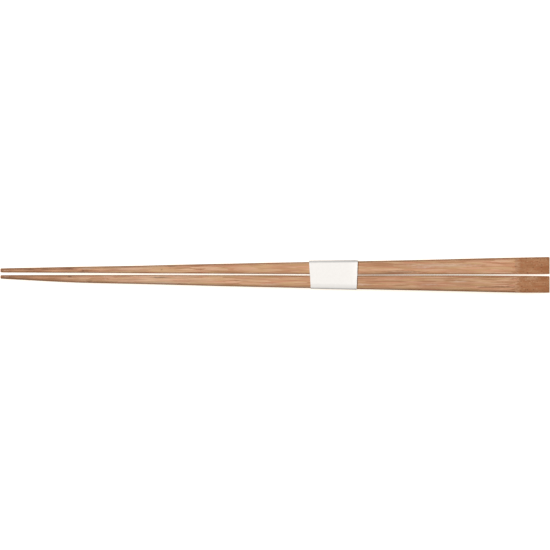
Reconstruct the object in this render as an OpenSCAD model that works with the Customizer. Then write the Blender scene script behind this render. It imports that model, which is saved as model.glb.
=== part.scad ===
// Pair of bamboo chopsticks with slant-cut heads, held side by side by a glued paper band.
// Millimetres. X runs from the tips to the heads, Y across the pair, Z up from the table.
// The origin is under the middle of the pair, on the table.

/* [Sticks] */
// Length of each stick, from tip to head
stick_l = 240; // [200:1:270]
// Width across the head
head_w = 7.5; // [5.5:0.1:9]
// Thickness of the head
head_t = 5; // [4:0.1:7]
// Width and thickness across the tip
tip_w = 1.7; // [1.3:0.05:2.2]
// Length of the shaved tip
shave_l = 33; // [20:1:60]
// Width of the back stick where its shaved tip begins
back_shoulder_w = 2.55; // [2.3:0.05:4]
// Width of the front stick where its shaved tip begins
front_shoulder_w = 3.35; // [2.3:0.05:4]
// Thickness where the shaved tip begins
shoulder_t = 2.7; // [2.3:0.05:4]
// Length over which the shaved tip runs softly into the body
shave_blend_l = 6; // [2:0.5:12]
// Extra width half-way between the shaved tip and the head
belly_w = 0.3; // [0:0.05:0.6]
// Radius along the long edges
edge_r = 0.75; // [0.2:0.05:0.8]
// Rise of the underside towards the tip
tip_lift = 0.35; // [0:0.05:0.6]

/* [Slanted head] */
// Length of the slanted cut, along the stick
cut_l = 15.6; // [8:0.1:25]
// Thickness left at the end of the cut
cut_end_t = 0.9; // [0.5:0.1:2]

/* [Gap between the sticks] */
// Gap at the tips
tip_gap = 1.15; // [0.5:0.05:2]
// Gap where the sticks come closest, at the head side of the band
band_gap = 0.25; // [0.2:0.05:1]
// Gap at the heads
head_gap = 0.85; // [0.5:0.05:2]
// How far the pair's tips lean to the back
tip_lean = 0.55; // [0:0.05:1]

/* [Paper band] */
// Width of the paper along the sticks, at the back
band_w = 21.2; // [15:0.1:40]
// Distance from the tips to the band
band_from_tip = 134.8; // [100:0.1:150]
// Thickness of the paper
paper_t = 0.12; // [0.08:0.01:0.3]
// Distance from each side of the band to the glued lap underneath
lap_inset = 2.2; // [1.5:0.1:4]
// How far each cut edge of the paper slants in towards the front
edge_slant = 0.75; // [0:0.05:1.5]
// Clearance between the paper and the sticks
band_clear = 0.1; // [0.05:0.01:0.4]
// Further slack of the paper behind the back stick
band_slack = 0.4; // [0:0.05:0.5]

/* [Hidden] */

// Which way each stick lies from the middle of the pair
BACK = 1;
FRONT = -1;
// Bamboo browned by steam, and white paper
bamboo_colour = [0.77, 0.60, 0.47];
paper_colour = [0.96, 0.95, 0.93];
// Steps in each rounded corner, and in the rounding of a tip's end
corner_steps = 6;
tip_end_steps = 3;
// Rings along the shaved tip, from there to the band's head side, and on to the head
shave_rings = 10;
body_rings = 14;
// Corner radius of the tip as a share of its half width: just short of a full circle
tip_round_share = 0.92;
// Rounding of the tip's end as a share of the tip's width
tip_end_share = 0.18;
// Where the outer layer of paper steps down onto the lap, as a share of the lap's inset
lap_ramp_share = 0.3;
// How far every cutting shape runs past what it cuts
overrun = 1;

tip_end_r = tip_end_share * tip_w;
lap_ramp = lap_ramp_share * lap_inset;
body_l = stick_l - shave_l;
cut_start = stick_l - cut_l;
band_end = band_from_tip + band_w;
// The sticks rest on the lap, where the paper lies double
rest_z = 2 * paper_t;

function mix(a, b, share) = a + (b - a) * share;
// Zero below zero and x above it, with a soft passage of the given length
function soft_ramp(x, blend_l) = (x + sqrt(x ^ 2 + blend_l ^ 2)) / 2;

// A stick's size at a distance s from the tips, from its sizes at the tip, shoulder and head
function tapered(s, tip, shoulder, head) =
    let (body_slope = (head - shoulder) / body_l, shave_slope = (shoulder - tip) / shave_l)
        shoulder + body_slope * (s - shave_l)
            - (shave_slope - body_slope) * soft_ramp(shave_l - s, shave_blend_l);
function belly(s) =
    let (share = max(0, s - shave_l) / body_l)
        4 * belly_w * share * (1 - share);
function shoulder_w(side) = side == BACK ? back_shoulder_w : front_shoulder_w;
function width_at(s, side) = tapered(s, tip_w, shoulder_w(side), head_w) + belly(s);
function bottom_z(s) = rest_z + tip_lift * max(0, 1 - s / shave_l) ^ 2;
function top_z(s) = rest_z + tapered(s, tip_lift + tip_w, shoulder_t, head_t);
function corner_r(s) = mix(tip_round_share * tip_w / 2, edge_r, min(1, s / shave_l));

// Where a stick's inner and outer sides lie, across the pair: both sticks are bowed a little
function gap_at(s) = s < band_end
    ? mix(tip_gap, band_gap, s / band_end)
    : mix(band_gap, head_gap, ((s - band_end) / (stick_l - band_end)) ^ 2);
function lean_at(s) = tip_lean * max(0, 1 - (s / band_end) ^ 2);
function inner_y(s, side) = lean_at(s) + side * gap_at(s) / 2;
function outer_y(s, side) = inner_y(s, side) + side * width_at(s, side);

// Outline of a box with rounded corners, anticlockwise from the middle of its right side
function rounded_box(y0, y1, z0, z1, r) =
    let (centres = [[y1 - r, z1 - r], [y0 + r, z1 - r], [y0 + r, z0 + r], [y1 - r, z0 + r]])
        [
            for (corner = [0 : 3])
                for (step = [0 : corner_steps])
                    let (angle = 90 * (corner + step / corner_steps))
                        centres[corner] + r * [cos(angle), sin(angle)]
        ];

// Solid skin through rings with as many points each, the first ring at the tip side.
// A closed skin goes from the last ring back to the first, and an open one is capped at both ends.
module loft(rings, closed = false) {
    count = len(rings[0]);
    last = len(rings) - 1;
    sides = [
        for (i = [0 : closed ? last : last - 1])
            for (j = [0 : count - 1])
                let (k = (j + 1) % count, a = i * count, b = (i + 1) % len(rings) * count)
                    each [[a + j, b + j, b + k], [a + j, b + k, a + k]]
    ];
    tip_cap = [for (j = [0 : count - 1]) j];
    head_cap = [for (j = [0 : count - 1]) last * count + count - 1 - j];
    caps = closed ? [] : [tip_cap, head_cap];
    polyhedron(points = [for (ring = rings) each ring], faces = concat(sides, caps));
}

// Ring of a stick's surface, drawn in by inset where the tip's end is rounded
function stick_ring(s, side, inset) =
    let (
        y0 = min(inner_y(s, side), outer_y(s, side)) + inset,
        y1 = max(inner_y(s, side), outer_y(s, side)) - inset,
        z0 = bottom_z(s) + inset,
        z1 = top_z(s) - inset
    )
        [for (p = rounded_box(y0, y1, z0, z1, corner_r(s) - inset)) [s - stick_l / 2, p[0], p[1]]];

// A squared bamboo blank, planed to its taper and shaved to a round tip
module stick_blank(side) {
    tip_end = [
        for (step = [0 : tip_end_steps - 1])
            let (angle = 90 * step / tip_end_steps)
                [tip_end_r * (1 - cos(angle)), tip_end_r * (1 - sin(angle))]
    ];
    shave = [for (i = [0 : shave_rings - 1]) [mix(tip_end_r, shave_l, i / shave_rings), 0]];
    body_to_band = [for (i = [0 : body_rings - 1]) [mix(shave_l, band_end, i / body_rings), 0]];
    band_to_head = [for (i = [0 : body_rings]) [mix(band_end, stick_l, i / body_rings), 0]];
    loft([
        for (station = concat(tip_end, shave, body_to_band, band_to_head))
            stick_ring(station[0], side, station[1])
    ]);
}

// Everything above the slanted cut, right across the pair
module head_cut() {
    slope = (top_z(cut_start) - rest_z - cut_end_t) / cut_l;
    start_x = cut_start - stick_l / 2 - overrun;
    end_x = stick_l / 2 + overrun;
    start_z = top_z(cut_start) + slope * overrun;
    end_z = rest_z + cut_end_t - slope * overrun;
    above_z = top_z(stick_l) + start_z;
    reach_y = head_gap / 2 + head_w + overrun;
    rotate([90, 0, 0])
        linear_extrude(height = 2 * reach_y, center = true)
            polygon([[start_x, start_z], [end_x, end_z], [end_x, above_z], [start_x, above_z]]);
}

module stick(side) {
    color(bamboo_colour)
        difference() {
            stick_blank(side);
            head_cut();
        }
}

module back_stick() {
    stick(BACK);
}

module front_stick() {
    stick(FRONT);
}

// Sides of the paper's inner face at a distance s from the tips
function band_front_y(s) = outer_y(s, FRONT) - band_clear;
function band_back_y(s) = outer_y(s, BACK) + band_clear + band_slack;

// Outline of the band's inner face, grown outwards by the layers of paper on it: one layer all
// round, and two where the glued lap lies between the front and back corners of the underside
function band_outline(s, layer_t) =
    let (
        y0 = band_front_y(s) - layer_t,
        y1 = band_back_y(s) + layer_t,
        z0 = rest_z - layer_t,
        z1 = top_z(s) + band_clear + layer_t,
        corners = rounded_box(y0, y1, z0, z1, edge_r + band_clear + layer_t),
        lap_place = 3 * (corner_steps + 1),
        lap_front = band_front_y(s) + lap_inset,
        lap_back = band_back_y(s) - lap_inset
    )
        concat(
            [for (i = [0 : lap_place - 1]) corners[i]],
            [[lap_front - lap_ramp, z0], [lap_front, z0 - layer_t]],
            [[lap_back, z0 - layer_t], [lap_back + paper_t, z0]],
            [for (i = [lap_place : len(corners) - 1]) corners[i]]
        );

// An outline of the band placed at a distance s from the tips, its front moved along by slant
function band_ring(s, layer_t, slant) =
    let (back_y = band_back_y(s), across = band_back_y(s) - band_front_y(s))
        [
            for (p = band_outline(s, layer_t))
                [s - stick_l / 2 + slant * (back_y - p[0]) / across, p[0], p[1]]
        ];

// A strip of paper wrapped round both sticks, its ends lapped and glued underneath
module paper_band() {
    color(paper_colour)
        loft([
            band_ring(band_from_tip, paper_t, edge_slant),
            band_ring(band_end, paper_t, -edge_slant),
            band_ring(band_end, 0, -edge_slant),
            band_ring(band_from_tip, 0, edge_slant)
        ], closed = true);
}

back_stick();
front_stick();
paper_band();
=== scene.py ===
"""A pair of bamboo chopsticks in a paper band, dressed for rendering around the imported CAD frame."""
import math
from collections import namedtuple
from types import SimpleNamespace

import bpy
import numpy as np
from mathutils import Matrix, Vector, noise
from mathutils.bvhtree import BVHTree


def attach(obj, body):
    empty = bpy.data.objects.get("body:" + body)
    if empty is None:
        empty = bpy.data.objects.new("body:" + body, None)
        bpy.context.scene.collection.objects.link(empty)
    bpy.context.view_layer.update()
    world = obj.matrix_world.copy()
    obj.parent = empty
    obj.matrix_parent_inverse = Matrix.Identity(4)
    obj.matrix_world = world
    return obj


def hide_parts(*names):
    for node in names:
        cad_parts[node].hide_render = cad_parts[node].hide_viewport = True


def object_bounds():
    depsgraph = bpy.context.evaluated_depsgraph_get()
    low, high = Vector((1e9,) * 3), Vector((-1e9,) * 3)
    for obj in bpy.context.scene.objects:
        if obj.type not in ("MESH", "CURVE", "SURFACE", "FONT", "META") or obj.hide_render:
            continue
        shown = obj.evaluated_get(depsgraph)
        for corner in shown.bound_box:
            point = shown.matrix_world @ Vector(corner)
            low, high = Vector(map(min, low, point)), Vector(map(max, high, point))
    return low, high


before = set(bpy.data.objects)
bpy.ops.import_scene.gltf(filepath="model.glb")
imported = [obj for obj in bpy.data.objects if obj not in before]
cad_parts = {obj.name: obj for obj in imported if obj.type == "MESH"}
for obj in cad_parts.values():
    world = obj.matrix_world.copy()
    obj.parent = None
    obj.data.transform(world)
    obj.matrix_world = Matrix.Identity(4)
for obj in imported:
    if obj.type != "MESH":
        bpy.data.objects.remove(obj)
cad_low, cad_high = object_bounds()


# The two sticks: each is one strip of steamed bamboo, planed to a square taper, shaved round
# at the tip and sawn to a slant at the head. They lie side by side, a hair apart.
mm = 0.001
# Length of the shaved tip, and the radii of the long edges, of the tip's end and of the head's end
shave_l = 33 * mm
edge_r = 0.75 * mm
tip_end_r = 0.3 * mm
head_end_r = 0.12 * mm
# Share of the tip's half width that its corners round off: just short of a full circle
tip_round_share = 0.92
# The least radius that the long edges keep where they run into a rounded end
least_edge_r = 0.1 * mm
# How deep fibres are torn out where the cut begins, and how far back from it
tear_d = 0.75 * mm
tear_l = 2.6 * mm
# The rays that measure a CAD node start far outside it, and a head is measured just short of its end
ray_start = 1.0
just_short = 0.001 * mm
Girth = namedtuple("Girth", "front back low high")


def corners_of(node):
    """The corners of a CAD node, one to a row."""
    return np.array([v.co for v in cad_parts[node].data.vertices])


def skin_of(node):
    """The surface of a CAD node, ready to be measured with rays."""
    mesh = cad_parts[node].data
    return BVHTree.FromPolygons([v.co for v in mesh.vertices], [p.vertices for p in mesh.polygons])


def reach(skin, start, towards):
    """The first point of a skin that is met from outside, going straight towards it."""
    return skin.ray_cast(Vector(start), Vector(towards))[0]


def girth(skin, x, y):
    """Where the front, back, underside and top of a skin lie at x, measured through y."""
    low = reach(skin, (x, y, -ray_start), (0, 0, 1)).z
    high = reach(skin, (x, y, ray_start), (0, 0, -1)).z
    middle = (low + high) / 2
    front = reach(skin, (x, -ray_start, middle), (0, 1, 0)).y
    back = reach(skin, (x, ray_start, middle), (0, -1, 0)).y
    return Girth(front, back, low, high)


def ridge_of(node):
    """Where along a stick its slanted cut begins: at its highest corner."""
    corners = corners_of(node)
    return corners[corners[:, 2].argmax(), 0]


def cad_stick(node):
    """The sizes of a CAD stick that its finer skin is built on, and its girth anywhere along it."""
    skin, corners = skin_of(node), corners_of(node)
    tip_x, ridge_x, head_x = corners[:, 0].min(), ridge_of(node), corners[:, 0].max()
    tip_y = corners[corners[:, 0] < tip_x + tip_end_r, 1].mean()
    head_y = corners[corners[:, 0] > head_x - tip_end_r, 1].mean()

    def at(x):
        """The girth at x, or at the nearest place clear of the rounded tip and the head's end."""
        x = np.clip(x, tip_x + tip_end_r, head_x - just_short)
        return girth(skin, x, np.interp(x, (tip_x, head_x), (tip_y, head_y)))

    tip, before, ridge, head = (at(x) for x in (tip_x, ridge_x - tear_l, ridge_x, head_x))
    return SimpleNamespace(
        at=at, tip_x=tip_x, ridge_x=ridge_x, head_x=head_x, ridge_z=ridge.high,
        tip_r=tip_round_share * (tip.back - tip.front) / 2,
        top_slope=(ridge.high - before.high) / tear_l,
        cut_slope=(head.high - ridge.high) / (head_x - ridge_x))


# Steps along the underside, each side and the top of a stick's section, and round each corner
under_steps, side_steps, top_steps, corner_steps = 40, 50, 60, 12


def arc(y, z, start, end, steps, across, up):
    """Points about (y, z) from one angle to another, on an ellipse with these two radii."""
    return [(y + across * math.cos(a), z + up * math.sin(a)) for a in np.linspace(start, end, steps)]


def lengths_along(points):
    """How far along a line of points each of them lies."""
    return np.append(0, np.cumsum(np.hypot(*np.diff(points, axis=0).T)))


def evenly(points, steps):
    """A line of points, walked in even steps without its last point, and its length."""
    points = np.array(points)
    along = lengths_along(points)
    stops = np.linspace(0, along[-1], steps, endpoint=False)
    return np.column_stack([np.interp(stops, along, points[:, i]) for i in (0, 1)]), along[-1]


def section(front, back, low, planed_z, sawn_z, radius, corner_angle):
    """A stick's section, anticlockwise from its lower front corner, and how far round each point is.

    The underside and the top each go from corner to corner, and a corner is where the rounding has
    turned by corner_angle. The saw cut takes off what is above it."""
    top = min(planed_z, sawn_z)
    shoulder = planed_z - radius
    cut_angle = math.asin(np.clip((top - shoulder) / radius, 0, 1))
    top_angle = min(corner_angle, cut_angle)
    front_y, back_y = front + radius, back - radius
    low_z, side_z = low + radius, min(shoulder, top)
    half_turn, quarter_turn = math.pi, math.pi / 2

    def turn(y, z, start, end):
        return arc(y, z, start, end, corner_steps, radius, radius)

    under = turn(front_y, low_z, half_turn + corner_angle, half_turn + quarter_turn)
    under += turn(back_y, low_z, -quarter_turn, -corner_angle)
    back_side = turn(back_y, low_z, -corner_angle, 0) + turn(back_y, side_z, 0, top_angle)
    over = turn(back_y, side_z, top_angle, cut_angle)
    over += turn(front_y, side_z, half_turn - cut_angle, half_turn - top_angle)
    front_side = turn(front_y, side_z, half_turn - top_angle, half_turn)
    front_side += turn(front_y, low_z, half_turn, half_turn + corner_angle)
    lines = (under, under_steps), (back_side, side_steps), (over, top_steps), (front_side, side_steps)
    outline, round_share, so_far = [], [], 0
    for line, steps in lines:
        points, length = evenly(line, steps)
        outline.append(points)
        round_share.append(np.linspace(so_far, so_far + length, steps, endpoint=False))
        so_far += length
    return np.vstack(outline), np.append(np.concatenate(round_share), so_far) / so_far


# Rings round the end of the tip or head, and their spacing on the shave, the body, the tear and the cut
end_rings = 7
shave_spacing, body_spacing, tear_spacing, cut_spacing = 0.6 * mm, 1.0 * mm, 0.14 * mm, 0.25 * mm
# Depth and length of the slow waves along the sides, and how far on in the noise the back side's lie
wave_d, wave_l, back_waves_on = 0.03 * mm, 21 * mm, 5
# How far towards the back the plane has strayed on each stick's front and back side, from tip to head
stray_at = np.array([0, 20, 35, 62, 80, 100, 120, 132, 160, 176, 197, 215, 228, 240]) * mm
back_stray = np.array([
    (0, 0, 0, -0.06, -0.07, -0.02, 0.03, 0.09, -0.02, 0.05, 0.08, 0.04, 0, 0),
    (0.12, 0.1, 0.07, -0.09, -0.03, 0, 0.09, 0.12, 0.12, 0.1, 0.13, 0.13, 0.06, 0),
]) * mm
front_stray = np.array([
    (0.12, -0.02, -0.07, 0.07, 0.045, 0, 0.02, 0.05, 0.07, 0.045, 0, -0.04, -0.05, 0.17),
    (0, 0, 0, 0, -0.04, -0.06, -0.08, -0.16, 0.02, 0.05, 0.11, 0.07, 0.02, 0),
]) * mm


def wavering(first, second, third=0.5):
    """A smooth random value from -1 to 1, the same in every run."""
    return noise.noise(Vector((first, second, third)))


def ring_places(cad):
    """Where along a stick its rings lie: closest round the ends and where the cut begins."""
    turn = np.linspace(0, math.pi / 2, end_rings)
    return np.concatenate([
        cad.tip_x + tip_end_r * (1 - np.cos(turn[:-1])),
        np.arange(cad.tip_x + tip_end_r, cad.tip_x + shave_l, shave_spacing),
        np.arange(cad.tip_x + shave_l, cad.ridge_x - tear_l, body_spacing),
        np.arange(cad.ridge_x - tear_l, cad.ridge_x + tear_l, tear_spacing),
        np.arange(cad.ridge_x + tear_l, cad.head_x - 2 * head_end_r, cut_spacing),
        cad.head_x - head_end_r * (1 - np.sin(turn)),
    ])


def end_inset(from_end, radius):
    """How far a rounded end draws a stick's surface in, at a distance from that end."""
    return radius - math.sqrt(max(0, radius ** 2 - max(0, radius - from_end) ** 2))


def planed_ring(cad, x, seed, stray):
    """A stick's section at x, square in the body and nearly round at the tip, before it is worn."""
    front, back, low, high = cad.at(x)
    past_ridge = x - cad.ridge_x
    planed_z = high if past_ridge < 0 else cad.ridge_z + cad.top_slope * past_ridge
    sawn_z = cad.ridge_z + cad.cut_slope * past_ridge
    inset = end_inset(x - cad.tip_x, tip_end_r) + end_inset(cad.head_x - x, head_end_r)
    front_off, back_off = (np.interp(x - cad.tip_x, stray_at, side) for side in stray)
    front += front_off + inset + wave_d * wavering(x / wave_l, seed)
    back += back_off - inset + wave_d * wavering(x / wave_l, seed + back_waves_on)
    squareness = min(1, (x - cad.tip_x) / shave_l)
    radius = max(cad.tip_r + (edge_r - cad.tip_r) * squareness - inset, least_edge_r)
    # A corner lies half-way round its quarter turn at the tip, and at the end of it in the body
    corner_angle = math.radians(45 + 45 * squareness)
    outline, round_share = section(
        front, back, low + inset, planed_z - inset, sawn_z - inset, radius, corner_angle)
    return SimpleNamespace(
        x=x, front=front, back=back, low=low, planed_z=planed_z, sawn_z=sawn_z,
        outline=outline, round_share=round_share)


# Depth, length and width of the fibre relief
relief_d, relief_l, relief_w = 0.02 * mm, 16 * mm, 0.28 * mm
# Widths of the coarse and the fine tears, and the depth of the fine against the coarse ones
coarse_tear_w, fine_tear_w, fine_tear_share = 0.45 * mm, 0.15 * mm, 0.4
# Depth and spacing of the saw marks, how far they waver, and over what length
saw_mark_d, saw_pitch, saw_waver, saw_waver_l = 0.012 * mm, 0.8 * mm, 2, 1 * mm
# How near the cut a point has to be to count as sawn
sawn_within = 0.01 * mm
# Width of the dark line at the head's end, painted shade on its rounded rim
end_line = 0.3 * mm
# What the end face inside that line keeps of the length, width and height, and of the line's brown and
# painted shade
end_face_shares, end_face_edge = (1, 0.94, 0.4), 0.2


def right_of(ahead):
    """Steps of one, each to the right of a step ahead: outwards, on an anticlockwise outline."""
    return np.column_stack([ahead[:, 1], -ahead[:, 0]]) / np.hypot(*ahead.T)[:, None]


def worn_points(cad, ring, seed):
    """A ring's points with relief, tears and saw marks, and which of them the saw has made.

    The relief dies out on the underside, which lies flat."""
    outwards = right_of(np.roll(ring.outline, -1, axis=0) - np.roll(ring.outline, 1, axis=0))
    torn = np.clip(1 + (ring.x - cad.ridge_x) / tear_l, 0, 1)
    saw_turn = ring.x / saw_pitch * 2 * math.pi + saw_waver * wavering(ring.x / saw_waver_l, seed)
    sawn_z = ring.sawn_z - saw_mark_d * (1 + math.sin(saw_turn))
    points, sawn = [], []
    for (y, z), (out_y, out_z) in zip(ring.outline, outwards):
        tear = wavering(y / coarse_tear_w, seed) + fine_tear_share * wavering(y / fine_tear_w, seed)
        planed_z = ring.planed_z - tear_d * torn * max(0, tear)
        fibre = 0.5 + 0.5 * wavering(ring.x / relief_l, y / relief_w, z / relief_w)
        depth = relief_d * fibre * min(1, 1 + out_z)
        points.append((ring.x, y - depth * out_y, min(z - depth * out_z, planed_z, sawn_z)))
        sawn.append(sawn_z < planed_z and z > ring.sawn_z - sawn_within)
    return np.array(points), np.array(sawn)


def edge_browning_and_shade(cad, ring, outer_reach, inner_share):
    """How dark a ring's points are, browned and with painted shade where the surface rounds off: most
    so along the long edges and at the head's end.

    Edges on the pair's outside are darkened outer_reach times as far in as those along the gap, which
    are only inner_share as dark."""
    # The head's end takes a dark line: painted shade on its rounded rim
    at_end = math.exp(-((cad.head_x - ring.x) / end_line) ** 2)
    top = min(ring.planed_z, ring.sawn_z)
    middle = (ring.front + ring.back) / 2
    darkened = []
    for y, z in ring.outline:
        from_side = min(y - ring.front, ring.back - y)
        from_face = min(z - ring.low, top - z)
        outside = (y - middle) * middle > 0
        share, reach_in = (1, edge_r * outer_reach) if outside else (inner_share, edge_r)
        along_edge = math.exp(-(from_side ** 2 + from_face ** 2) / reach_in ** 2)
        darkened.append(max(share * along_edge, at_end))
    return np.array(darkened)


# The skin is laid out flat in strips, one above the other, and the two ends above those
flat_strips, flat_margin, ends_v = 3, 0.02, 0.95
# Edges that turn by more than this stay sharp
stick_sharp = math.radians(35)


def grid_faces(rows):
    """The corners of a grid's four-sided faces, whether its rows hold point numbers or flat places."""
    corners = rows[:-1, :-1], rows[:-1, 1:], rows[1:, 1:], rows[1:, :-1]
    return np.stack(corners, 2).reshape(-1, 4, *rows.shape[2:])


def flat_skin(along, round_shares, ends):
    """Where each corner of a stick's faces lies on the flat layout."""
    inside = 1 - 2 * flat_margin
    along = grid_faces(np.broadcast_to(along[:, None] * flat_strips, round_shares.shape))
    strip = np.minimum(along.mean(axis=1), flat_strips - 0.5).astype(int)[:, None]
    u = flat_margin + inside * (along - strip)
    v = ends_v / flat_strips * (strip + flat_margin + inside * grid_faces(round_shares))
    flat = [np.stack([u, v], 2).reshape(-1, 2)]
    room = 0.5 - 2 * flat_margin, (1 - ends_v) / 2
    for end, start_u in zip(ends, (0, 0.5)):
        spread = end - end.min(axis=0)
        scale = (room / spread.max(axis=0)).min()
        flat.append((start_u + flat_margin, ends_v + flat_margin / 2) + spread * scale)
    return np.vstack(flat)


def stick_mesh(node, seed, stray, outer_reach, inner_share):
    """A stick as a skin of rings from tip to head, with flat end faces."""
    cad = cad_stick(node)
    rings = [planed_ring(cad, x, seed, stray) for x in ring_places(cad)]
    points, sawn = (list(part) for part in zip(*(worn_points(cad, ring, seed) for ring in rings)))
    edges = [edge_browning_and_shade(cad, ring, outer_reach, inner_share) for ring in rings]
    round_shares = [ring.round_share for ring in rings]

    # Inside the dark line at the head's end lies one more ring, on the end face
    middle = points[-1].mean(axis=0)
    points.append(middle + (points[-1] - middle) * end_face_shares)
    sawn.append(np.ones_like(sawn[-1]))
    edges.append(np.full_like(edges[-1], end_face_edge))
    round_shares.append(round_shares[-1])

    numbers = np.arange(len(points) * len(points[0])).reshape(len(points), -1)
    quads = grid_faces(np.hstack([numbers, numbers[:, :1]]))
    faces = [*quads.tolist(), numbers[0, ::-1].tolist(), numbers[-1].tolist()]
    mesh = bpy.data.meshes.new(node)
    mesh.from_pydata(np.vstack(points).tolist(), [], faces)
    darkened = mesh.attributes.new("edge", "FLOAT", "POINT")
    darkened.data.foreach_set("value", np.concatenate(edges).astype(np.float32))
    # A face takes the sawn finish if at least three of its corners are sawn, and both ends do
    is_sawn = np.append(np.concatenate(sawn)[quads].sum(axis=1) >= 3, [True, True])
    mesh.polygons.foreach_set("material_index", is_sawn.astype(np.int32))
    mesh.shade_smooth()
    mesh.set_sharp_from_angle(angle=stick_sharp)

    along = np.array([*(ring.x for ring in rings), cad.head_x + end_line]) - cad.tip_x
    ends = points[0][::-1, 1:], points[-1][:, 1:]
    flat = flat_skin(along / (cad.head_x - cad.tip_x), np.array(round_shares), ends)
    mesh.uv_layers.new(name="OFBake").uv.foreach_set("vector", flat.ravel())
    return mesh


def new_object(name, data):
    """An object for a mesh, a lamp or a camera, put into the scene."""
    made = bpy.data.objects.new(name, data)
    bpy.context.scene.collection.objects.link(made)
    return made


def colour(red, green, blue):
    """A colour given as a screen shows it, from 0 to 255, as the light that it stands for."""
    shares = np.array([red, green, blue]) / 255
    return (*np.where(shares <= 0.04045, shares / 12.92, ((shares + 0.055) / 1.055) ** 2.4), 1)


def put(tree, kind, inputs=None, **settings):
    """Adds a shader node with these settings, sets or links its inputs, and gives its outputs."""
    made = tree.nodes.new("ShaderNode" + kind)
    for name, value in settings.items():
        setattr(made, name, value)
    for name, source in (inputs or {}).items():
        if isinstance(source, bpy.types.NodeSocket):
            tree.links.new(source, made.inputs[name])
        else:
            made.inputs[name].default_value = source
    return made.outputs


def calc(tree, operation, first, second=0.0):
    """A sum, product or the like of two numbers."""
    return put(tree, "Math", {0: first, 1: second}, operation=operation)[0]


def calc_places(tree, operation, first, second):
    """A sum, product or the like of two places, axis by axis."""
    return put(tree, "VectorMath", {0: first, 1: second}, operation=operation)[0]


def ramp(tree, value, start, end, most=1.0, least=0.0):
    """The least up to start, growing softly to the most at end."""
    inputs = {"Value": value, "From Min": start, "From Max": end, "To Min": least, "To Max": most}
    return put(tree, "MapRange", inputs, interpolation_type="SMOOTHSTEP")[0]


def blend(tree, share, under, over):
    """One colour laid over another, as much as share says."""
    # A Mix node takes colours at its inputs 6 and 7, and gives one at its output 2
    return put(tree, "Mix", {0: share, 6: under, 7: over}, data_type="RGBA")[2]


def in_mm(tree):
    """The place on the object, in millimetres."""
    place = put(tree, "TexCoord")["Object"]
    return put(tree, "VectorMath", {0: place, "Scale": 1 / mm}, operation="SCALE")[0]


def soft_noise(tree, place, size, detail=2.0):
    """Soft noise from 0 to 1, whose lumps have this size in millimetres."""
    scaled = calc_places(tree, "DIVIDE", place, size)
    return put(tree, "TexNoise", {"Vector": scaled, "Scale": 1.0, "Detail": detail})


def painted(tree, attribute, most):
    """The values that a mesh carries under this name, from nothing to the most."""
    return calc(tree, "MULTIPLY", put(tree, "Attribute", attribute_name=attribute)["Fac"], most)


def bump(tree, height, strength, depth):
    """A normal that follows this height."""
    return put(tree, "Bump", {"Height": height, "Strength": strength, "Distance": depth})[0]


def new_group(name, inputs, outputs):
    """An empty node group with these inputs, each with its kind and default, and number outputs."""
    tree = bpy.data.node_groups.new(name, "ShaderNodeTree")
    for label, (kind, default) in inputs.items():
        socket = tree.interface.new_socket(label, in_out="INPUT", socket_type="NodeSocket" + kind)
        socket.default_value = default
    for label in outputs:
        tree.interface.new_socket(label, in_out="OUTPUT", socket_type="NodeSocketFloat")
    given = tree.nodes.new("NodeGroupInput").outputs
    return tree, given, tree.nodes.new("NodeGroupOutput").inputs


def new_material(name, inputs):
    """A material with one Principled BSDF, which takes these plain values."""
    made = bpy.data.materials.new(name)
    made.use_nodes = True
    shader = made.node_tree.nodes["Principled BSDF"].inputs
    for label, value in inputs.items():
        shader[label].default_value = value
    return made, made.node_tree, shader


# Bamboo is a bundle of strands that run the whole length and drift a little, so one solid pattern
# gives long streaks on the planed faces and short dots on the slanted cut. Sizes are in millimetres.
swing_size, thread_size = (30, 4, 4), (15, 0.16, 0.16)
hue_size, tone_size = (12, 0.65, 0.65), (30, 2.6, 2.6)
# How far from a strand's middle its core ends, softly, as shares of its width
core_inside, core_outside = 0.2, 0.45
fibre_inputs = {
    "Strand Width": ("Float", 0.5),
    "Strand Length": ("Float", 22.0),
    "Drift": ("Float", 0.8),
}
fibre_outputs = "Strand", "Chance", "Bundle", "Thread", "Hue", "Tone"
fibres, given, result = new_group("bamboo fibres", fibre_inputs, fibre_outputs)
place = in_mm(fibres)
swing = calc_places(fibres, "SUBTRACT", soft_noise(fibres, place, swing_size)["Color"], (0.5, 0.5, 0.5))
drift = put(fibres, "CombineXYZ", {"Y": given["Drift"], "Z": given["Drift"]})[0]
adrift = calc_places(fibres, "ADD", place, calc_places(fibres, "MULTIPLY", swing, drift))
width = given["Strand Width"]
strand_size = put(fibres, "CombineXYZ", {"X": given["Strand Length"], "Y": width, "Z": width})[0]
in_strands = calc_places(fibres, "DIVIDE", adrift, strand_size)
cells = put(fibres, "TexVoronoi", {"Vector": in_strands, "Scale": 1.0})
chances = put(fibres, "SeparateXYZ", {0: cells["Color"]})
core = ramp(fibres, cells["Distance"], core_outside, core_inside)
threads = soft_noise(fibres, adrift, thread_size, detail=3.0)["Fac"]
hues = soft_noise(fibres, adrift, hue_size)["Fac"]
tones = soft_noise(fibres, place, tone_size)["Fac"]
for name, source in zip(fibre_outputs, (chances["X"], chances["Y"], core, threads, hues, tones)):
    fibres.links.new(source, result[name])

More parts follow.
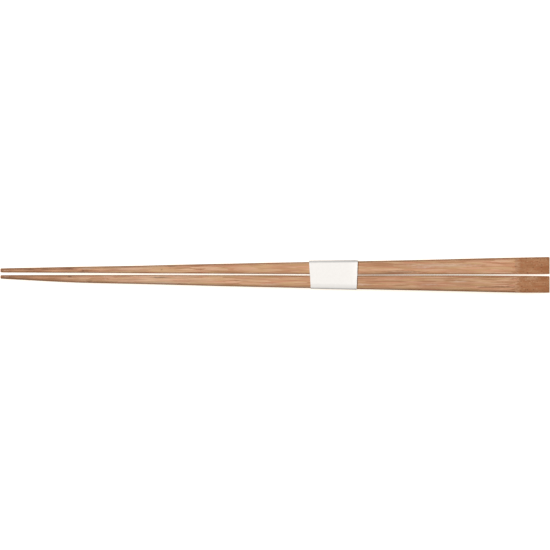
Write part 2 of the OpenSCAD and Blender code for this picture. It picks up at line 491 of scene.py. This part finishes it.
# A mark in the bamboo, drawn out along the fibres and ragged at its rim: a node of the cane, a
# bruise, a rubbed place or a stain
ragged_size, raggedness = (1.6, 0.25, 0.25), 1.8
mark_inside, mark_outside = 0.2, 1.1
mark_inputs = {"Centre": ("Vector", (0, 0, 0)), "Length": ("Float", 2.0), "Width": ("Float", 0.4)}
stain, given, result = new_group("stain mark", mark_inputs, ("Mask",))
place, width = in_mm(stain), given["Width"]
mark_size = put(stain, "CombineXYZ", {"X": given["Length"], "Y": width, "Z": width})[0]
ragged = calc(stain, "SUBTRACT", soft_noise(stain, place, ragged_size)["Fac"], 0.5)
off_centre = calc_places(stain, "SUBTRACT", place, given["Centre"])
off_centre = calc_places(stain, "DIVIDE", off_centre, mark_size)
away = put(stain, "VectorMath", {0: off_centre}, operation="LENGTH")["Value"]
away = calc(stain, "ADD", away, calc(stain, "MULTIPLY", ragged, raggedness))
stain.links.new(ramp(stain, away, mark_outside, mark_inside), result["Mask"])

# Planed faces: fibre streaks from rose to straw, browner at the rubbed tips, and darker along the edges
# with browning and painted shade
rose, straw, pale = colour(204, 144, 112), colour(203, 162, 117), colour(222, 180, 146)
brown, tip_brown, edge_brown_and_shade = colour(160, 108, 72), colour(150, 100, 68), colour(112, 78, 50)
mark_brown, rubbed, flushed = colour(96, 54, 30), colour(232, 212, 192), colour(222, 164, 126)
# Pattern, where it begins to show and shows most, its strength and its colour
streaks = (
    ("Strand", 0.55, 1.0, 0.75, pale),
    ("Strand", 0.42, 0.05, 0.65, brown),
    ("Thread", 0.5, 0.72, 0.5, brown),
    ("Thread", 0.48, 0.3, 0.45, pale),
    ("Tone", 0.52, 0.3, 0.3, brown),
)
# Distance from the tips, place across the pair, length and width in millimetres of each dark mark, and
# its strength
marks = (
    (0.5, 2.1, 0.7, 0.8, 0.5),
    (3.6, -1.1, 3.4, 0.7, 0.5),
    (9.5, -1.6, 5.0, 0.4, 0.35),
    (12.7, 2.74, 3.4, 0.42, 0.6),
    (20.1, 2.9, 3.4, 0.42, 0.55),
    (24.7, 2.43, 3.5, 0.4, 0.25),
    (29.5, 2.83, 4.0, 0.5, 0.8),
    (30.4, -0.36, 1.2, 0.4, 0.85),
    (36.1, 1.87, 0.75, 0.5, 0.85),
    (36.8, 1.7, 3.8, 0.45, 0.5),
    (39.1, -2.6, 2.0, 0.45, 0.5),
    (60.0, 2.6, 26.0, 3.5, 0.05),
    (66.0, -4.6, 26.0, 0.6, 0.15),
    (69.3, -1.05, 3.6, 0.3, 0.8),
    (70.5, 2.35, 0.8, 0.45, 0.45),
    (71.5, -1.1, 5.5, 0.22, 0.4),
    (74.5, 4.0, 3.0, 0.34, 0.6),
    (98.0, 3.2, 16.0, 3.5, 0.08),
    (104.7, -2.4, 5.0, 0.5, 0.2),
    (157.6, 3.3, 4.0, 0.7, 0.15),
    (168.0, 0.75, 14.0, 0.7, 0.35),
    (175.5, 1.4, 11.0, 0.8, 0.45),
    (196.0, -4.0, 70.0, 5.5, 0.16),
    (218.2, -5.2, 13.0, 0.6, 0.5),
)
# Pale specks and broad pale places where the bamboo has been rubbed, given the same way
rubs = (
    (1.9, 2.4, 0.5, 0.16, 0.6),
    (2.2, -0.5, 0.8, 0.16, 0.5),
    (3.2, -0.8, 0.5, 0.16, 0.35),
    (3.2, 1.95, 0.6, 0.14, 0.45),
    (37.4, 2.9, 4.0, 0.45, 0.35),
    (45.4, -0.67, 0.4, 0.2, 0.45),
    (46.1, -1.8, 0.5, 0.2, 0.4),
    (46.5, -0.54, 0.4, 0.2, 0.35),
    (56.0, 3.0, 16.0, 3.0, 0.12),
    (66.0, -2.5, 30.0, 3.5, 0.14),
    (71.0, -3.7, 5.0, 0.45, 0.35),
    (117.8, -4.1, 6.0, 0.6, 0.3),
    (157.5, -4.1, 4.0, 0.7, 0.3),
    (183.8, 3.3, 5.0, 0.5, 0.25),
    (187.3, -4.1, 5.0, 0.5, 0.25),
    (192.0, 4.2, 22.0, 1.0, 0.3),
    (200.0, -2.8, 5.0, 0.5, 0.3),
)
# Warm flushes in the bamboo, given the same way
flushes = (
    (7.4, 2.0, 3.6, 0.6, 0.3),
    (17.0, -1.2, 6.0, 0.7, 0.35),
    (23.6, 1.75, 4.4, 0.6, 0.5),
    (34.4, 2.3, 1.6, 0.7, 0.35),
    (43.0, 2.7, 5.0, 0.7, 0.3),
    (74.1, 3.3, 4.0, 0.5, 0.45),
    (77.6, -1.95, 5.0, 0.5, 0.6),
    (216.5, -5.85, 16.0, 0.45, 0.6),
)
# How far from the tips their browning reaches, how strong it is there, and how strong the edges'
# browning and painted shade are
tip_brown_l, tip_brown_most, planed_edge_shade_most = 2 * shave_l, 0.6, 0.7
# How high the strands stand in the grain, against the threads
strand_height = 0.4
skins = {node: skin_of(node) for node in ("back_stick", "front_stick")}


def on_top(from_tip, y):
    """The point on top of a stick at that distance from the tips and that place across the pair."""
    skin = skins["back_stick" if y > 0 else "front_stick"]
    return skin.find_nearest(Vector((cad_low.x + from_tip * mm, y * mm, cad_high.z)))[0] / mm


def streaked(tree, look, fibre, streaks):
    """A look with streaks of the fibre pattern laid over it."""
    for pattern, start, end, most, over in streaks:
        look = blend(tree, ramp(tree, fibre[pattern], start, end, most), look, over)
    return look


def marked(tree, look, over, spots):
    """A look with marks of one more colour laid over it."""
    for from_tip, y, length, width, strength in spots:
        size = {"Centre": on_top(from_tip, y), "Length": length, "Width": width}
        mask = put(tree, "Group", size, node_tree=stain)["Mask"]
        look = blend(tree, calc(tree, "MULTIPLY", mask, strength), look, over)
    return look


planed_bamboo, tree, shader = new_material("planed bamboo", {"Specular IOR Level": 0.25})
strands = {"Strand Width": 0.45, "Strand Length": 9.0, "Drift": 0.9}
fibre = put(tree, "Group", strands, node_tree=fibres)
look = blend(tree, ramp(tree, fibre["Hue"], start=0.38, end=0.62), rose, straw)
look = streaked(tree, look, fibre, streaks)
along = put(tree, "SeparateXYZ", {0: in_mm(tree)})["X"]
near_tip = ramp(tree, along, (cad_low.x + tip_brown_l) / mm, cad_low.x / mm, tip_brown_most)
look = blend(tree, near_tip, look, tip_brown)
for over, spots in ((flushed, flushes), (mark_brown, marks), (rubbed, rubs)):
    look = marked(tree, look, over, spots)
# The edges darken with browning and with painted shade where they round off from the light
look = blend(tree, painted(tree, "edge", planed_edge_shade_most), look, edge_brown_and_shade)
tree.links.new(look, shader["Base Color"])
roughness = ramp(tree, fibre["Thread"], start=0.2, end=0.8, most=0.7, least=0.45)
tree.links.new(roughness, shader["Roughness"])
grain = calc(tree, "ADD", fibre["Thread"], calc(tree, "MULTIPLY", fibre["Strand"], strand_height))
tree.links.new(bump(tree, grain, strength=0.5, depth=0.03 * mm), shader["Normal"])

# The sawn slant shows the strands end on: dark bundles and pale pith in a browner ground
ground_dark, ground_light = colour(169, 112, 73), colour(193, 141, 102)
bundle_brown, pith, red_speck = colour(112, 66, 42), colour(212, 172, 136), colour(150, 80, 54)
sawn_red = colour(178, 106, 68)
# Streaks in the ground, given as those of the planed faces
sawn_streaks = (
    ("Hue", 0.5, 0.66, 0.45, sawn_red),
    ("Thread", 0.5, 0.72, 0.3, bundle_brown),
)
# Chance at which a strand begins to have this colour and has it fully, its strength and the colour
dots = (
    (0.74, 0.95, 0.7, pith),
    (0.34, 0.1, 0.75, bundle_brown),
    (0.08, 0.02, 0.7, red_speck),
)
# Torn fibres are pale about the ridge: how many millimetres past it they stop and are at their palest,
# how much of that a high hue takes back, and their strength
torn_from, torn_to, torn_back, torn_most = 9.0, 5.0, 12.0, 0.45
# How strongly the edges' browning and painted shade darken the sawn slant
sawn_edge_shade_most = 0.4
# A pale place along the front stick's cut, given like the marks above
sawn_rubs = ((232.5, -1.5, 13.0, 1.2, 0.5),)
sawn_bamboo, tree, shader = new_material("sawn bamboo", {"Specular IOR Level": 0.2, "Roughness": 0.75})
strands = {"Strand Width": 0.55, "Strand Length": 1.1, "Drift": 0.9}
fibre = put(tree, "Group", strands, node_tree=fibres)
look = blend(tree, ramp(tree, fibre["Tone"], start=0.3, end=0.7), ground_dark, ground_light)
look = streaked(tree, look, fibre, sawn_streaks)
for start, end, most, over in dots:
    spots = calc(tree, "MULTIPLY", fibre["Bundle"], ramp(tree, fibre["Chance"], start, end, most))
    look = blend(tree, spots, look, over)
along = put(tree, "SeparateXYZ", {0: in_mm(tree)})["X"]
from_ridge = calc(tree, "SUBTRACT", along, ridge_of("back_stick") / mm)
torn = calc(tree, "ADD", from_ridge, calc(tree, "MULTIPLY", fibre["Hue"], torn_back))
look = blend(tree, ramp(tree, torn, torn_from, torn_to, torn_most), look, pale)
# The edges darken with browning and with painted shade where they round off from the light
look = blend(tree, painted(tree, "edge", sawn_edge_shade_most), look, edge_brown_and_shade)
look = marked(tree, look, pith, sawn_rubs)
tree.links.new(look, shader["Base Color"])
tree.links.new(bump(tree, fibre["Thread"], strength=0.6, depth=0.05 * mm), shader["Normal"])

# Piece, CAD node, place in the noise, strayed sides, and how its outer and inner edges are browned and
# darkened with painted shade
pair = (
    ("bamboo_stick_back", "back_stick", 3.1, back_stray, 1.0, 0.5),
    ("bamboo_stick_front", "front_stick", 8.7, front_stray, 1.4, 0.75),
)
for name, node, seed, stray, outer_reach, inner_share in pair:
    stick = new_object(name, stick_mesh(node, seed, stray, outer_reach, inner_share))
    stick.data.materials.append(planed_bamboo)
    stick.data.materials.append(sawn_bamboo)
    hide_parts(node)
    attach(stick, "root")


# The paper band: one strip of white paper, wrapped tightly round both sticks from underneath, with
# its ends lapped and glued under the pair. It alone holds the sticks together.
paper_t = 0.11 * mm
# Thickness of the layer that the CAD keeps for the paper
layer_t = 0.12 * mm
# Distance from the band's sides to the ends of the lap, and length of the step down onto it
lap_inset, lap_ramp = 2.2 * mm, 0.66 * mm
# Outer radius of the lower folds
fold_r = 0.97 * mm
# The upper folds are slack: how wide and how deep the back one is, and the radius of the front one
back_fold_w, back_fold_d, front_fold_r = 1.3 * mm, 2.0 * mm, 0.85 * mm
# How far the head-side edge curls up at the back, over what length, and its share in the pair's middle
curl_d, curl_l, curl_middle = 0.6 * mm, 1.2 * mm, 0.6
# How much the head-side edge slants in towards the front, against the tip-side edge
head_slant_share = 0.7
# The crease along the front fold, how far it stands up, and how far the paper sinks past it
crease_from_edge = 2.25 * mm
crease_rise, crease_sink = 0.24 * mm, 0.09 * mm
# How steep the paper is just past the crease, and where the front fold takes over
crease_slope, fold_slope = math.radians(11), math.radians(35)
# Depth, length and width of the waves in the paper, and where in the noise they are taken
paper_wave_d, paper_wave_l, paper_wave_w, paper_seed = 0.03 * mm, 7 * mm, 5 * mm, 4.2
# How far the back fold stands out and the front fold is pulled in, at the tip side and the head side
back_push = 0.11 * mm, 0.05 * mm
front_pull = -0.03 * mm, 0.1 * mm
# How far the paper must have turned before a painted shade greys its fold, from 0 when flat to 1
# half-way round
fold_shade_start = 0.32
# How strongly the painted shade greys the folds at the tip side and at the head side, and how much more
# so in front
fold_shade_shares, front_fold_shade = (0.68, 0.95), 1.25
# Points across the strip and round each fold, and along each stretch from its inner to its outer end
across_steps, fold_steps = 44, 16
inner_steps, back_steps, over_steps, bend_steps = 36, 4, 40, 16
front_steps, lap_steps, ramp_steps, outer_steps = 12, 6, 6, 32
# The CAD band gives the strip's place and width, the slant of its cut edges and its girth near both
skin, corners = skin_of("paper_band"), corners_of("paper_band")
start_x, end_x = corners[:, 0].min(), corners[:, 0].max()
front_start_x = corners[corners[:, 1] < corners[:, 1].min() + fold_r, 0].min()
edge_slant = front_start_x - start_x
measured_x = start_x + 2 * edge_slant, end_x - 2 * edge_slant
measured = np.array([girth(skin, x, 0) for x in measured_x])


def front_bend(crease, fold):
    """The paper from the crease into the front fold, bent ever more steeply, without both ends.

    The curve is drawn towards the point where the slopes at its two ends meet."""
    (crease_y, crease_z), (fold_y, fold_z) = crease, fold
    rise = fold_z + math.tan(fold_slope) * (crease_y - fold_y) - crease_z
    run = rise / (math.tan(fold_slope) - math.tan(crease_slope))
    meeting = crease_y - run, crease_z - run * math.tan(crease_slope)
    way = np.linspace(0, 1, bend_steps)[1:-1, None]
    start, middle, end = np.array([crease, meeting, fold])
    return (1 - way) ** 2 * start + 2 * way * (1 - way) * middle + way ** 2 * end


def paper_line(x):
    """The middle of the strip's thickness at x, from its inner end under the pair to its outer end."""
    way = (x - measured_x[0]) / (measured_x[1] - measured_x[0])
    front, back, low, high = measured[0] + way * (measured[1] - measured[0])
    front += layer_t / 2 + np.interp(x, (start_x, end_x), front_pull)
    back += np.interp(x, (start_x, end_x), back_push) - layer_t / 2
    high -= layer_t / 2
    outer, inner = low + layer_t / 2, low + 1.5 * layer_t
    lap_front, lap_back = front + layer_t / 2 + lap_inset, back - layer_t / 2 - lap_inset
    r, half_turn, quarter_turn = fold_r - layer_t / 2, math.pi, math.pi / 2
    sunk = high - crease_sink
    crease = front + crease_from_edge, high + crease_rise
    back_fold = arc(back - back_fold_w, high - back_fold_d, 0, quarter_turn,
                    fold_steps, back_fold_w, back_fold_d)
    front_fold = arc(front + front_fold_r, sunk - front_fold_r, quarter_turn + fold_slope, half_turn,
                     fold_steps, front_fold_r, front_fold_r)
    line = np.vstack([
        np.linspace((lap_front, inner), (back - r, inner), inner_steps)[:-1],
        arc(back - r, inner + r, -quarter_turn, 0, fold_steps, r, r),
        np.linspace((back, inner + r), (back, high - back_fold_d), back_steps)[1:-1],
        back_fold,
        np.linspace((back - back_fold_w, high), crease, over_steps)[1:],
        front_bend(crease, front_fold[0]),
        front_fold,
        np.linspace((front, sunk - front_fold_r), (front, inner + r), front_steps)[1:-1],
        arc(front + r, inner + r, half_turn, half_turn + quarter_turn, fold_steps, r, r),
        np.linspace((front + r, inner), (lap_front - lap_ramp, inner), lap_steps)[1:],
        np.linspace((lap_front - lap_ramp, inner), (lap_front, outer), ramp_steps)[1:],
        np.linspace((lap_front, outer), (lap_back, outer), outer_steps)[1:],
    ])
    return line, front, back


def paper_row(share):
    """The strip at a share of its width: its outer and inner face, its lengths and the painted shade on
    its folds.
    """
    x = start_x + share * (end_x - start_x)
    line, front, back = paper_line(x)
    outwards = right_of(np.gradient(line, axis=0))
    slant = edge_slant * (1 - (1 + head_slant_share) * share)
    slanted_x = x + slant * (back - line[:, 0]) / (back - front)
    curl = curl_d * math.exp((x - end_x) / curl_l)
    curl = curl * (curl_middle + (1 - curl_middle) * line[:, 0] / back)
    waves = [wavering(x / paper_wave_l, y / paper_wave_w, paper_seed) for y in line[:, 0]]
    line[:, 1] += np.maximum(0, outwards[:, 1]) * (curl + paper_wave_d * np.array(waves))
    # Where the strip turns away from the top it takes a painted shade, stronger in front
    turned = np.clip(2 * abs(outwards[:, 0] * outwards[:, 1]) - fold_shade_start, 0, 1) / (1 - fold_shade_start)
    fold_shading = turned * np.interp(share, (0, 1), fold_shade_shares) * np.where(line[:, 0] < 0, front_fold_shade, 1)
    outer_face = np.column_stack([slanted_x, line + outwards * paper_t / 2])
    inner_face = np.column_stack([slanted_x, line - outwards * paper_t / 2])
    return outer_face, inner_face, lengths_along(line), fold_shading


over_shares = np.linspace(0, 1, across_steps)
paper_rows = [paper_row(share) for share in over_shares]
outer_face, inner_face, lengths, fold_shading = map(np.array, zip(*paper_rows))
outer_at = np.arange(fold_shading.size).reshape(fold_shading.shape)
inner_at = outer_at + fold_shading.size
# The strip is laid out flat: its two faces one above the other, its long cut edges between them and
# its short ones beside them
faces_u, outer_v, inner_v = (0.03, 0.97), (0.01, 0.47), (0.53, 0.99)
tip_edge_v, head_edge_v = np.array([[0.48], [0.49]]), np.array([[0.51], [0.52]])
inner_end_u, outer_end_u = np.array([[0.005], [0.015]]), np.array([[0.985], [0.995]])
strip_l = float(np.max(lengths))
along = np.interp(lengths / strip_l, (0, 1), faces_u)
outer_over, inner_over = (np.interp(over_shares, (0, 1), place) for place in (outer_v, inner_v))
# Each patch has its points, their places along and over the layout, and the way its faces turn
patches = (
    (outer_at, along, outer_over[:, None], 1),
    (inner_at, along, inner_over[:, None], -1),
    ((inner_at[0], outer_at[0]), along[0], tip_edge_v, 1),
    ((outer_at[-1], inner_at[-1]), along[-1], head_edge_v, 1),
    ((outer_at[:, 0], inner_at[:, 0]), inner_end_u, outer_over, 1),
    ((inner_at[:, -1], outer_at[:, -1]), outer_end_u, outer_over, 1),
)
faces = np.vstack([grid_faces(np.array(numbers))[:, ::turn] for numbers, _, _, turn in patches])
flat = np.vstack([
    grid_faces(np.stack(np.broadcast_arrays(u, v), 2))[:, ::turn] for _, u, v, turn in patches])
# Edges that turn by more than this stay sharp
paper_sharp = math.radians(50)
mesh = bpy.data.meshes.new("paper_band")
mesh.from_pydata(np.vstack([*outer_face, *inner_face]).tolist(), [], faces.tolist())
# The fold attribute carries the painted shade of the folds
folds = mesh.attributes.new("fold", "FLOAT", "POINT")
folds.data.foreach_set("value", np.ravel([fold_shading, fold_shading]).astype(np.float32))
mesh.shade_smooth()
mesh.set_sharp_from_angle(angle=paper_sharp)
mesh.uv_layers.new(name="OFBake").uv.foreach_set("vector", flat.ravel())

# White paper, faintly cloudy and fuzzy, with a painted shade greying its folds
paper_white, paper_shade = colour(250, 246, 241), colour(240, 235, 230)
fold_shade_grey = colour(198, 196, 193)
paper, tree, shader = new_material("white paper", {"Roughness": 0.9, "Specular IOR Level": 0.15})
place = in_mm(tree)
cloudy = put(tree, "TexNoise", {"Vector": place, "Scale": 0.9, "Detail": 4.0})["Fac"]
fuzz = put(tree, "TexNoise", {"Vector": place, "Scale": 9.0, "Detail": 3.0})["Fac"]
look = blend(tree, ramp(tree, cloudy, start=0.35, end=0.7, most=0.25), paper_white, paper_shade)
look = blend(tree, ramp(tree, fuzz, start=0.5, end=0.8, most=0.3), look, paper_shade)
# Painted shade greys the folds
look = blend(tree, painted(tree, "fold", most=0.9), look, fold_shade_grey)
tree.links.new(look, shader["Base Color"])
tree.links.new(bump(tree, fuzz, strength=0.25, depth=0.01 * mm), shader["Normal"])

band = new_object("wrapped_paper_band", mesh)
mesh.materials.append(paper)
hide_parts("paper_band")
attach(band, "root")


# The table and the light: a white table top that stays white in the picture and takes a faint
# shadow, under one large soft lamp from above, a little to the left and behind, and a pale room.
table_size = 3.0
# How far the table lies under the object, so that the two never flicker
table_drop = 0.02 * mm
# What the camera sees of the table: its own light, and how much shadow it takes
warm_white, table_glow, table_white = (1, 0.89, 0.775, 1), 0.96, 0.4
# What the table sends back up at the object, and the room's light from the sides and from overhead
table_grey = 0.3
room_side, room_overhead = 0.06, 0.26
half = table_size / 2
table_corners = [(-half, -half, 0), (half, -half, 0), (half, half, 0), (-half, half, 0)]
floor_mesh = bpy.data.meshes.new("white_table")
floor_mesh.from_pydata(table_corners, [], [(0, 1, 2, 3)])
floor = new_object("white_table", floor_mesh)
floor.location.z = cad_low.z - table_drop


def seen(tree):
    """One where the camera looks, straight or by way of gloss or glass."""
    rays = put(tree, "LightPath")
    either = calc(tree, "MAXIMUM", rays["Is Camera Ray"], rays["Is Glossy Ray"])
    return calc(tree, "MAXIMUM", either, rays["Is Transmission Ray"])


def grey(level):
    """A colour without hue that sends back this share of the light."""
    return level, level, level, 1


white = bpy.data.materials.new("white table")
white.use_nodes = True
tree = white.node_tree
tree.nodes.remove(tree.nodes["Principled BSDF"])
in_view = seen(tree)
matt = put(tree, "BsdfDiffuse", {"Color": blend(tree, in_view, grey(table_grey), grey(table_white))})[0]
glow = calc(tree, "MULTIPLY", in_view, table_glow)
bright = put(tree, "Emission", {"Color": warm_white, "Strength": glow})[0]
surface = put(tree, "AddShader", {0: matt, 1: bright})[0]
tree.links.new(surface, tree.nodes["Material Output"].inputs["Surface"])
floor_mesh.materials.append(white)

room = bpy.data.worlds.new("pale room")
bpy.context.scene.world = room
room.use_nodes = True
tree = room.node_tree
upwards = put(tree, "SeparateXYZ", {0: put(tree, "TexCoord")["Generated"]})["Z"]
level = put(tree, "MapRange", {"Value": upwards, "To Min": room_side, "To Max": room_overhead})[0]
background = tree.nodes["Background"].inputs
background["Color"].default_value = grey(1)
tree.links.new(calc(tree, "MAXIMUM", level, seen(tree)), background["Strength"])

# The lamp has the power at which a level white surface under it looks as bright as lamp_level
lamp_level = 0.82
lamp_size, lamp_distance = 1.3, 4.0
lamp_way = Vector((-0.5, 0.2, 1.0)).normalized()
lamp = bpy.data.lights.new("soft_lamp", "AREA")
lamp.shape = "SQUARE"
lamp.size = lamp_size
lamp.energy = lamp_level * math.pi ** 2 * lamp_distance ** 2 / lamp_way.z
lamp_object = new_object("soft_lamp", lamp)
lamp_object.location = lamp_way * lamp_distance
lamp_object.rotation_euler = lamp_way.to_track_quat("Z", "Y").to_euler()

# The camera looks straight down, with the tips at the picture's left edge and the heads at its right.
# At measured_height the picture is as wide as view_w.
view_w = 240.48 * mm
view_centre = -0.04 * mm, 0.03 * mm
measured_height = 1.1 * mm
camera = bpy.data.cameras.new("camera")
camera.lens = 135
camera.sensor_width = 36
camera_height = measured_height + view_w * camera.lens / camera.sensor_width
camera_object = new_object("camera", camera)
camera_object.location = (*view_centre, camera_height)
bpy.context.scene.camera = camera_object
bpy.context.scene.view_settings.view_transform = "Standard"
